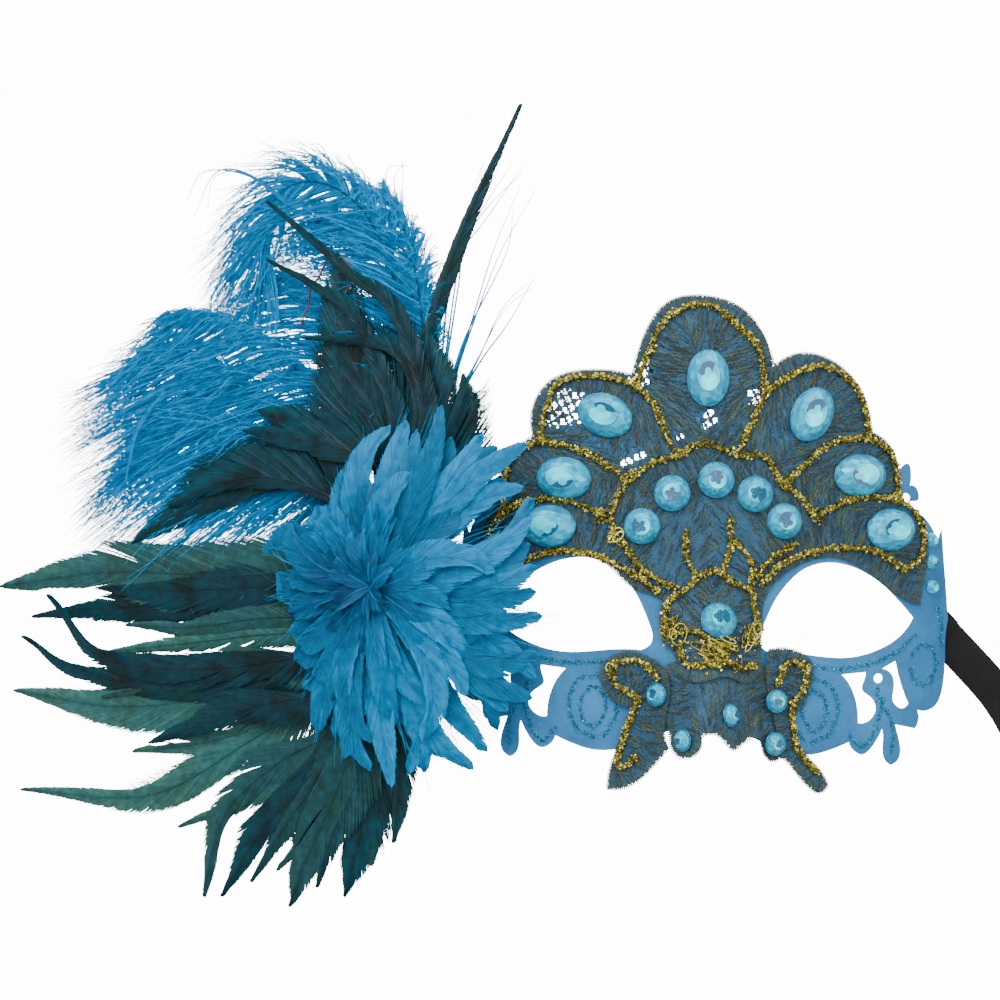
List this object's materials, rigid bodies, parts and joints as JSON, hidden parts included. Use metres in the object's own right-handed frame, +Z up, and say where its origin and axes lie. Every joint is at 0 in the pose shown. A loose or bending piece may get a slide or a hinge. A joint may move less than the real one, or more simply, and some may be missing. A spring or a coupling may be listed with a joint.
{
  "type": "venetian masquerade mask",
  "caption": "Half-face mask with scrolled edges, a jewelled lace crest, a feather cluster with ostrich and coque plumes at one temple, and a ribbon tie.",
  "frame": {"origin": "where the bridge of the wearer's nose touches the inside of the shell, on the mask's centre line between the eye openings", "axes": "+X towards the viewer's right as the mask is seen from the front, -Y out of the front of the mask, +Z up as worn"},
  "size_m": [0.3529, 0.1015, 0.3097],
  "materials": {
    "shell_blue": "matt painted papier mache with glitter lines",
    "lace": "stiffened metallic thread lace",
    "dark_felt": "dark stiff cloth",
    "gold_cord": "metallic gold braid",
    "stone": "foil-backed faceted acrylic",
    "coque_feather": "iridescent feather",
    "ostrich_feather": "soft dyed feather",
    "rosette_feather": "dyed feather",
    "glue": "set glue",
    "black_satin": "satin ribbon"
  },
  "bodies": {
    "root": {"backing_disc": "dark_felt", "coque_feather_01": "coque_feather", "coque_feather_02": "coque_feather", "coque_feather_03": "coque_feather", "coque_feather_04": "coque_feather", "coque_feather_05": "coque_feather", "coque_feather_06": "coque_feather", "coque_feather_07": "coque_feather", "coque_feather_08": "coque_feather", "coque_feather_09": "coque_feather", "coque_feather_10": "coque_feather", "coque_feather_11": "coque_feather", "coque_feather_12": "coque_feather", "coque_sickles_left": "coque_feather", "coque_tips_upper": "coque_feather", "crest_stiffener": "dark_felt", "drop_stone_1": "stone", "drop_stone_2": "stone", "drop_stone_3": "stone", "drop_stone_4": "stone", "drop_stone_5": "stone", "glue_pad": "glue", "gold_cord_flower": "gold_cord", "gold_cord_leaf_left": "gold_cord", "gold_cord_leaf_right": "gold_cord", "gold_cord_lobes": "gold_cord", "gold_cord_net": "gold_cord", "gold_cord_scallops": "gold_cord", "lace_fan": "lace", "lace_flower": "lace", "lace_leaf_left": "lace", "lace_leaf_right": "lace", "lace_tail": "lace", "mask_shell": "shell_blue", "nose_stone": "stone", "ostrich_plume_1": "ostrich_feather", "ostrich_plume_2": "ostrich_feather", "oval_stone_lower_left": "stone", "oval_stone_lower_right": "stone", "oval_stone_middle_left": "stone", "oval_stone_middle_right": "stone", "oval_stone_top": "stone", "oval_stone_upper_left": "stone", "oval_stone_upper_right": "stone", "quill_bundle": "glue", "rosette_ring_1": "rosette_feather", "rosette_ring_2": "rosette_feather", "rosette_ring_3": "rosette_feather", "rosette_ring_4": "rosette_feather", "round_stone_1": "stone", "round_stone_2": "stone", "round_stone_3": "stone", "round_stone_4": "stone", "round_stone_5": "stone", "side_stones": "stone", "tie_band": "black_satin", "tie_hank": "black_satin", "tie_patch_left": "black_satin", "tie_patch_right": "black_satin", "tie_ribbon": "black_satin"}
  },
  "joints": []
}
